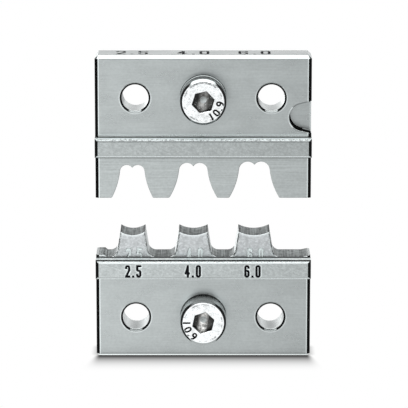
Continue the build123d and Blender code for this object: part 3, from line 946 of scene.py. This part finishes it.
def cut_away(piece, cutters):
    """Cut closed shapes out of a piece, and delete them."""
    for cutter in cutters:
        cut = piece.modifiers.new("cut", "BOOLEAN")
        cut.operation = "DIFFERENCE"
        cut.solver = "EXACT"
        cut.object = cutter
    mesh = evaluated_mesh(piece)
    piece.modifiers.clear()
    piece.data = mesh
    for cutter in cutters:
        bpy.data.objects.remove(cutter)


def smooth_round_faces(piece, sharp_angle=math.radians(28)):
    """Shade the piece smooth, apart from edges that turn by more than an angle."""
    shape = bmesh.new()
    shape.from_mesh(piece.data)
    for face in shape.faces:
        face.smooth = True
    for edge in shape.edges:
        edge.smooth = len(edge.link_faces) == 2 and edge.calc_face_angle() < sharp_angle
    shape.to_mesh(piece.data)
    shape.free()


def digit_cutter(digit, angle, radius, place):
    """One digit as a closed shape on the head's face, its top towards the middle."""
    curve = bpy.data.curves.new("digit", "FONT")
    curve.body = digit
    curve.size = STRENGTH_SIZE
    curve.extrude = STRENGTH_DEPTH
    curve.offset = STRENGTH_STROKE
    curve.resolution_u = 3
    curve.align_x = "CENTER"
    curve.align_y = "CENTER"
    text = link_object("digit", curve)
    mesh = evaluated_mesh(text)
    bpy.data.objects.remove(text)
    shape = bmesh.new()
    shape.from_mesh(mesh)
    bmesh.ops.remove_doubles(shape, verts=shape.verts, dist=0.001 * MM)
    bmesh.ops.recalc_face_normals(shape, faces=shape.faces)
    inward = Vector((-math.cos(angle), 0, -math.sin(angle)))
    along = Vector((-math.sin(angle), 0, math.cos(angle)))
    turn = Matrix((along, inward, Vector((0, -1, 0)))).transposed().to_4x4()
    outward = Matrix.Translation(-inward * radius)
    bmesh.ops.transform(shape, matrix=outward @ turn, verts=shape.verts)
    return new_piece("digit_cutter", shape, place)


def thread_radius(y, angle, start, end):
    """The radius of a right-handed thread at a place on it."""
    phase = (y / THREAD_PITCH - angle / (2 * math.pi)) % 1.0
    groove = min(1.0, max(0.0, 1.35 * (1 - abs(2 * phase - 1)) / 0.875 - 0.15))
    run_in = min(1.0, max(0.0, (y - start) / THREAD_PITCH))
    return min(THREAD_RADIUS - THREAD_DEPTH * groove * run_in, THREAD_RADIUS - TIP_CHAMFER + (end - y))


def threaded_shape(head_radius, face, tip):
    """A screw's head and threaded shank as one closed shape about the Y axis."""
    rings = [(head_radius - HEAD_RIM, face), (head_radius, face + HEAD_RIM)]
    rings += arc_rings(head_radius - HEAD_FOOT_RIM, FACE_Y - HEAD_FOOT_RIM, HEAD_FOOT_RIM, 0, 90, steps=3)
    rings.append((THREAD_RADIUS, FACE_Y))
    first_row = len(rings)
    start = FACE_Y + NECK_LENGTH
    rows = int((tip - start) / THREAD_PITCH * THREAD_ROWS)
    rings += [(THREAD_RADIUS, start + (tip - start) * row / rows) for row in range(rows + 1)]
    shape = lathe(rings, LATHE_SEGMENTS)
    shape.verts.ensure_lookup_table()
    for vertex in shape.verts[first_row * LATHE_SEGMENTS:]:
        angle = math.atan2(vertex.co.z, vertex.co.x)
        radius = thread_radius(vertex.co.y, angle, start, tip)
        vertex.co.x = radius * math.cos(angle)
        vertex.co.z = radius * math.sin(angle)
    return shape


def socket_cutters(centre, face, turn):
    """The hexagon, slightly flared at its mouth, and the drilled cone at its bottom."""
    corner = SOCKET_WIDTH / math.sqrt(3)
    bottom = face + SOCKET_DEPTH
    hexagon = [
        (corner + 3 * SOCKET_MOUTH, face - 2 * SOCKET_MOUTH),
        (corner, face + SOCKET_MOUTH),
        (corner, bottom),
    ]
    cone_radius = SOCKET_WIDTH / 2 - CONE_INSET
    cone = [
        (cone_radius, bottom - 0.1 * MM),
        (cone_radius, bottom + 0.03 * MM),
        (SOCKET_FLOOR_RADIUS, face + SOCKET_FLOOR_DEPTH),
    ]
    return [
        new_piece("socket_cutter", lathe(hexagon, 6, turn), centre),
        new_piece("cone_cutter", lathe(cone, LATHE_SEGMENTS // 2), centre),
    ]


def make_screw(name, body, socket_turn, number_angles, is_banded, sheen):
    """A socket head cap screw with a helical thread and its strength number round the socket."""
    low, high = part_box(name)
    centre = Vector(((low.x + high.x) / 2, 0, (low.z + high.z) / 2))
    face = low.y
    screw = new_piece(name + "_detailed", threaded_shape((high.x - low.x) / 2, face, high.y), centre)
    cutters = socket_cutters(centre, face, math.radians(socket_turn))
    on_face = centre + Vector((0, face, 0))
    for digit, angle in zip(STRENGTH_NUMBER, number_angles):
        cutters.append(digit_cutter(digit, math.radians(angle), STRENGTH_RADIUS, on_face))
    cut_away(screw, cutters)
    smooth_round_faces(screw)
    screw.data.materials.clear()
    screw.data.materials.append(screw_material(name + "_plating", centre, face, is_banded, sheen))
    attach(screw, body)
    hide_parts(name)


def make_camera():
    """The photograph's camera: a long lens, looking a little down."""
    data = bpy.data.cameras.new("camera")
    data.sensor_width = SENSOR_WIDTH
    data.lens = FOCAL_PIXELS / IMAGE_SIZE * SENSOR_WIDTH
    data.clip_start = 0.01
    data.clip_end = 20
    camera = link_object("camera", data)
    back = Vector((0, -math.cos(CAMERA_ELEVATION), math.sin(CAMERA_ELEVATION)))
    camera.location = VIEW_CENTRE + back * CAMERA_DISTANCE
    camera.rotation_euler = (math.pi / 2 - CAMERA_ELEVATION, 0, 0)
    bpy.context.scene.camera = camera


def make_world():
    """A white studio. What steel reflects is darker at both sides and high behind."""
    world = bpy.data.worlds.new("studio")
    bpy.context.scene.world = world
    shader = Shader(world)
    direction = shader.node("ShaderNodeTexCoord").outputs["Generated"]
    x, y, z = shader.node("ShaderNodeSeparateXYZ", Vector=direction).outputs
    sideways = shader.magnitude(x)
    behind = shader.remap(y, 0.0, 0.12, 0.0, 1.0)
    gap = shader.overlap(behind, shader.remap(z, 0.26, 0.36, 0.0, 1.0))
    lens_side = shader.overlap(shader.remap(z, 0.0, 0.08, 0.0, 1.0), shader.remap(z, 0.34, 0.5, 1.0, 0.0))
    level = shader.mix(behind, shader.mix(lens_side, AHEAD_LEVEL, LENS_LEVEL), BEHIND_LEVEL)
    level = shader.mix(gap, level, GAP_LEVEL)
    level = shader.mix(shader.remap(z, 0.74, 0.86, 0.0, 1.0), level, OVERHEAD_LEVEL)
    level = shader.overlap(level, shader.remap(sideways, 0.2, 0.4, 1.0, 1.3))
    level = shader.mix(shader.remap(sideways, 0.62, 0.7, 0.0, 1.0), level, SIDE_LEVEL)
    level = shader.overlap(level, shader.remap(x, -1.0, 1.0, 1.25, 0.75))
    path = shader.node("ShaderNodeLightPath").outputs
    strength = shader.mix(path["Is Diffuse Ray"], level, WORLD_DIFFUSE_LEVEL)
    strength = shader.mix(path["Is Camera Ray"], strength, 1.0)
    surface = shader.node("ShaderNodeBackground", Color=(1, 1, 1, 1), Strength=strength)
    output = shader.node("ShaderNodeOutputWorld")
    shader.tree.links.new(surface.outputs[0], output.inputs[0])


def cast_shadow(shader, x, ahead):
    """The soft shadow ahead of the object, which fades forwards and past both of its ends."""
    fading = shader.remap(ahead, SHADOW_START, SHADOW_START + SHADOW_LENGTH, 1.0, 0.0)
    fading = shader.maths("POWER", fading, SHADOW_FALL)
    fading = shader.overlap(fading, shader.remap(ahead, -SHADOW_BACK, 0.0, 0.0, 1.0))
    past_end = shader.difference(shader.magnitude(x), END_X - SHADOW_OVERLAP)
    spread = shader.sum(SHADOW_EDGE, shader.overlap(shader.most(ahead, 0.0), SHADOW_SPREAD))
    share = shader.maths("DIVIDE", past_end, spread)
    within = shader.node("ShaderNodeMapRange", {"interpolation_type": "SMOOTHSTEP"}, Value=share)
    return shader.overlap(fading, shader.outside(within.outputs[0]))


def floor_reflection(shader, x, y, cast, ahead):
    """What the steel reflects of the floor: paler at the left, and darker at both sides of the object."""
    sideways = shader.magnitude(x)
    forward = shader.magnitude(shader.difference(y, WEDGE_Y))
    past_start = shader.most(shader.difference(sideways, WEDGE_START_X), 1 * MM)
    slope = shader.maths("DIVIDE", forward, past_start)
    wedge = shader.overlap(
        shader.remap(slope, 0.85, 1.1, 1.0, 0.0), shader.above(sideways, WEDGE_INNER_X)
    )
    far = shader.remap(y, -0.24, -0.02, 1.0, 0.0)
    tilt = shader.overlap(x, shader.mix(far, 9.0, 5.0))
    level = shader.most(shader.difference(shader.mix(far, 1.04, 0.9), tilt), 0.3)
    in_shadow = shader.overlap(cast, shader.above(ahead, 0.8 * MM))
    level = shader.overlap(level, shader.remap(in_shadow, 0, 1, 1, 0.7))
    return shader.mix(wedge, level, SIDE_LEVEL)


def make_floor():
    """A white floor with the object's contact shadow."""
    shape = bmesh.new()
    bmesh.ops.create_grid(shape, x_segments=1, y_segments=1, size=FLOOR_SIZE / 2)
    floor = new_piece("floor", shape, (0, 0, 0))
    material = bpy.data.materials.new("white_floor")
    shader = Shader(material)
    x, y, _ = shader.place()[0]
    ahead = shader.difference(FACE_Y, y)
    cast = cast_shadow(shader, x, ahead)
    occlusion = shader.node("ShaderNodeAmbientOcclusion", {"samples": 32}, Distance=CONTACT_REACH)
    contact = shader.remap(occlusion.outputs["AO"], 0.45, 0.95, 0.5, 0.0)
    seen = shader.remap(shader.most(cast, contact), 0.0, 1.0, 1.0, SHADOW_TONE)
    path = shader.node("ShaderNodeLightPath").outputs
    glow = shader.mix(path["Is Glossy Ray"], seen, floor_reflection(shader, x, y, cast, ahead))
    glow = shader.mix(path["Is Diffuse Ray"], glow, FLOOR_DIFFUSE_LEVEL)
    shader.finish_material(
        Base_Color=(0, 0, 0, 1),
        Roughness=1.0,
        Specular_IOR_Level=0.0,
        Emission_Color=(1, 1, 1, 1),
        Emission_Strength=glow,
    )
    floor.data.materials.append(material)


def make_lamp(name, place, target, size, watts):
    """A soft square lamp."""
    data = bpy.data.lights.new(name, "AREA")
    data.size = size
    data.energy = watts
    lamp = link_object(name, data)
    lamp.location = place
    lamp.rotation_euler = (Vector(target) - Vector(place)).to_track_quat("-Z", "Y").to_euler()


bpy.context.scene.view_settings.view_transform = "Standard"
make_camera()
make_world()
make_floor()
make_lamp("top_softbox", LAMP_PLACE, LAMP_TARGET, LAMP_SIZE, LAMP_WATTS)

# The halves are lit and shaded copies of one steel: their levels, bar chamfer tones and line tones are
# painted light and shade.
lower_steel = steel_material(
    "lower_steel", LOWER_LEVEL, VALLEY_Z - PROFILE_MARGIN, lower_block_high.z + PROFILE_MARGIN,
    LOWER_BORE_Z, is_lower=True,
)
upper_steel = steel_material(
    "upper_steel", UPPER_LEVEL, upper_block_low.z - PROFILE_MARGIN, upper_bar_low.z,
    UPPER_BORE_Z, is_lower=False,
)
lower_bar_steel = bar_material(
    "lower_bar_steel", lower_bar_low, lower_bar_high, corner_y=PROFILE_Y, level=0.51, is_rolled=True,
    chamfers=(0.55, 0.62, 1.0), lines=(0.8, 0.55),
)
upper_bar_steel = bar_material(
    "upper_bar_steel", upper_bar_low, upper_bar_high, corner_y=FACE_Y - 0.12 * MM, level=0.445,
    is_rolled=False, chamfers=(1.0, 1.0, 0.42), lines=(0.16, 0.4),
)
dress(["lower_die_block"], lower_steel)
dress(["upper_die_block"], upper_steel)
dress(["lower_thrust_bar"], lower_bar_steel)
dress(["upper_thrust_bar"], upper_bar_steel)
# The two screws are alike; their painted bands, painted shade and socket highlight differ.
make_screw("lower_cap_screw", "lower_screw", 17.5, (180, 204, 220, 236), is_banded=False, sheen=1.0)
make_screw("upper_cap_screw", "upper_screw", 13, (-61, -39, -23, -6), is_banded=True, sheen=0.4)
dress([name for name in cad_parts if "_pin_" in name], pin_material())
dress([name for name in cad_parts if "_mark_" in name], enamel_material())
